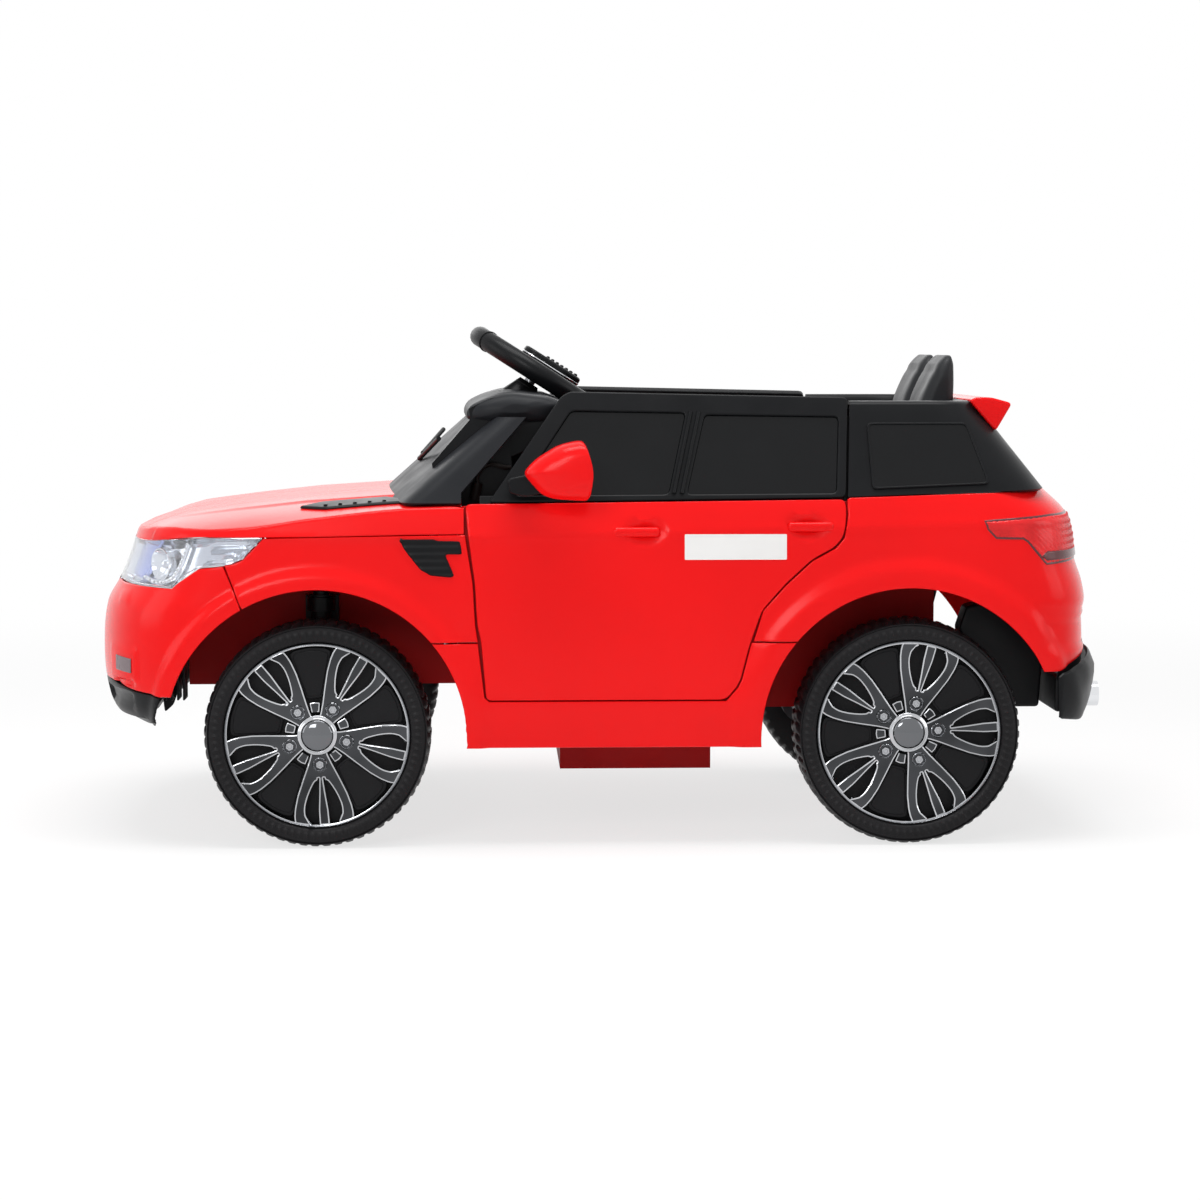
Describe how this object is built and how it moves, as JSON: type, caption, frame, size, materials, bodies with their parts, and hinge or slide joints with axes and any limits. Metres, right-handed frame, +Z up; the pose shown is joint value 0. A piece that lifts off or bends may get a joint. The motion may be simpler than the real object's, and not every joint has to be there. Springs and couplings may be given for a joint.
{
  "type": "electric ride-on car",
  "caption": "Child's battery-driven ride-on car with an open cab, hinged doors, steered front wheels, driven rear wheels and a moulded seat with twin backs.",
  "frame": {"origin": "on the floor below the middle of the overall box", "axes": "+Z up; -X is the way it drives; -Y is its left side, the one in the picture"},
  "size_m": [1.0405, 0.6156, 0.5241],
  "materials": {
    "red_gloss": "gloss",
    "red_satin": "satin",
    "black_plastic": "satin",
    "charcoal_plastic": "satin",
    "gear_plastic": "matte",
    "steel": "satin",
    "lamp_clear": "gloss",
    "lamp_chrome": "gloss",
    "reflector_grey": "gloss",
    "lamp_red": "gloss",
    "lead_rubber": "matte",
    "button_red": "gloss",
    "tyre_black": "matte",
    "gunmetal": "gloss"
  },
  "bodies": {
    "body": {"front_bumper": "red_gloss", "fenders": "red_gloss", "sills": "red_gloss", "rear_body": "red_gloss", "bonnet": "red_gloss", "spoiler": "red_gloss", "front_lip": "black_plastic", "rear_valance": "black_plastic", "fender_vents": "black_plastic", "bonnet_vents": "black_plastic", "grille": "black_plastic", "rear_canopy": "black_plastic", "wipers": "black_plastic", "seat": "black_plastic", "lead_plug": "black_plastic", "windscreen": "charcoal_plastic", "dashboard": "charcoal_plastic", "front_beam": "gear_plastic", "gearboxes": "gear_plastic", "control_box": "gear_plastic", "battery": "gear_plastic", "rear_axle": "steel", "hinge_pins": "steel", "pedal_pin": "steel", "panel_screws": "steel", "drive_motors": "steel", "tub": "red_satin", "headlamps": "lamp_clear", "headlamp_bowls": "lamp_chrome", "fog_lamps": "reflector_grey", "tail_lamps": "lamp_red", "exhaust_tips": "lamp_chrome", "dash_lead": "lead_rubber"},
    "door_left": {"door_left": "red_gloss", "window_frame_left": "black_plastic", "mirror_left": "red_gloss"},
    "door_right": {"door_right": "red_gloss", "window_frame_right": "black_plastic", "mirror_right": "red_gloss"},
    "steering": {"steering_column": "steel", "steering_wheel": "charcoal_plastic"},
    "horn": {"horn_pad": "charcoal_plastic"},
    "knuckle_left": {"knuckle_left": "gear_plastic"},
    "knuckle_right": {"knuckle_right": "gear_plastic"},
    "tie_rod": {"tie_rod": "steel"},
    "pedal": {"pedal": "black_plastic"},
    "power_button": {"power_button": "button_red"},
    "direction_rocker": {"direction_rocker": "black_plastic"},
    "wheel_front_left": {"tyre_front_left": "tyre_black", "trim_front_left": "gunmetal", "hub_cap_front_left": "lamp_chrome"},
    "wheel_front_right": {"tyre_front_right": "tyre_black", "trim_front_right": "gunmetal", "hub_cap_front_right": "lamp_chrome"},
    "wheel_rear_left": {"tyre_rear_left": "tyre_black", "trim_rear_left": "gunmetal", "hub_cap_rear_left": "lamp_chrome"},
    "wheel_rear_right": {"tyre_rear_right": "tyre_black", "trim_rear_right": "gunmetal", "hub_cap_rear_right": "lamp_chrome"}
  },
  "joints": [
    {"name": "steering_turn", "type": "hinge", "parent": "body", "child": "steering", "pos_m": [-0.0615, 0, 0.475], "axis": [0.5373, 0, 0.8434], "range_deg": [-22, 22]},
    {"name": "knuckle_left_turn", "type": "hinge", "parent": "body", "child": "knuckle_left", "pos_m": [-0.2855, -0.166, 0.114], "axis": [0, 0, 1], "range_deg": [-22, 22]},
    {"name": "knuckle_right_turn", "type": "hinge", "parent": "body", "child": "knuckle_right", "pos_m": [-0.2855, 0.166, 0.114], "axis": [0, 0, 1], "range_deg": [-22, 22]},
    {"name": "tie_rod_pivot", "type": "hinge", "parent": "knuckle_left", "child": "tie_rod", "pos_m": [-0.2475, -0.166, 0.143], "axis": [0, 0, 1], "range_deg": [-22, 22]},
    {"name": "horn_press", "type": "slide", "parent": "steering", "child": "horn", "axis": [-0.5373, 0, -0.8434], "range_m": [0, 0.003], "stiffness_N_per_m": 800},
    {"name": "door_left_hinge", "type": "hinge", "parent": "body", "child": "door_left", "pos_m": [-0.156, -0.252, 0.25], "axis": [0, 0, -1], "range_deg": [0, 36]},
    {"name": "door_right_hinge", "type": "hinge", "parent": "body", "child": "door_right", "pos_m": [-0.156, 0.252, 0.25], "axis": [0, 0, 1], "range_deg": [0, 36]},
    {"name": "pedal_press", "type": "hinge", "parent": "body", "child": "pedal", "pos_m": [-0.046, 0.056, 0.128], "axis": [0, -1, 0], "range_deg": [0, 14], "stiffness_Nm_per_rad": 0.6},
    {"name": "power_press", "type": "slide", "parent": "body", "child": "power_button", "axis": [-1, 0, 0], "range_m": [0, 0.0025], "stiffness_N_per_m": 400},
    {"name": "direction_tilt", "type": "hinge", "parent": "body", "child": "direction_rocker", "pos_m": [-0.0925, -0.084, 0.386], "axis": [0, 1, 0], "range_deg": [-10, 10]},
    {"name": "wheel_front_left_spin", "type": "hinge", "parent": "knuckle_left", "child": "wheel_front_left", "pos_m": [-0.2855, -0.225, 0.114], "axis": [0, -1, 0], "continuous": true},
    {"name": "wheel_front_right_spin", "type": "hinge", "parent": "knuckle_right", "child": "wheel_front_right", "pos_m": [-0.2855, 0.225, 0.114], "axis": [0, -1, 0], "continuous": true},
    {"name": "wheel_rear_left_spin", "type": "hinge", "parent": "body", "child": "wheel_rear_left", "pos_m": [0.3105, -0.225, 0.114], "axis": [0, -1, 0], "continuous": true},
    {"name": "wheel_rear_right_spin", "type": "hinge", "parent": "body", "child": "wheel_rear_right", "pos_m": [0.3105, 0.225, 0.114], "axis": [0, -1, 0], "continuous": true}
  ],
  "couplings": [
    {"joint": "knuckle_left_turn", "follows": "steering_turn", "ratio": 1},
    {"joint": "knuckle_right_turn", "follows": "steering_turn", "ratio": 1},
    {"joint": "tie_rod_pivot", "follows": "steering_turn", "ratio": -1}
  ]
}
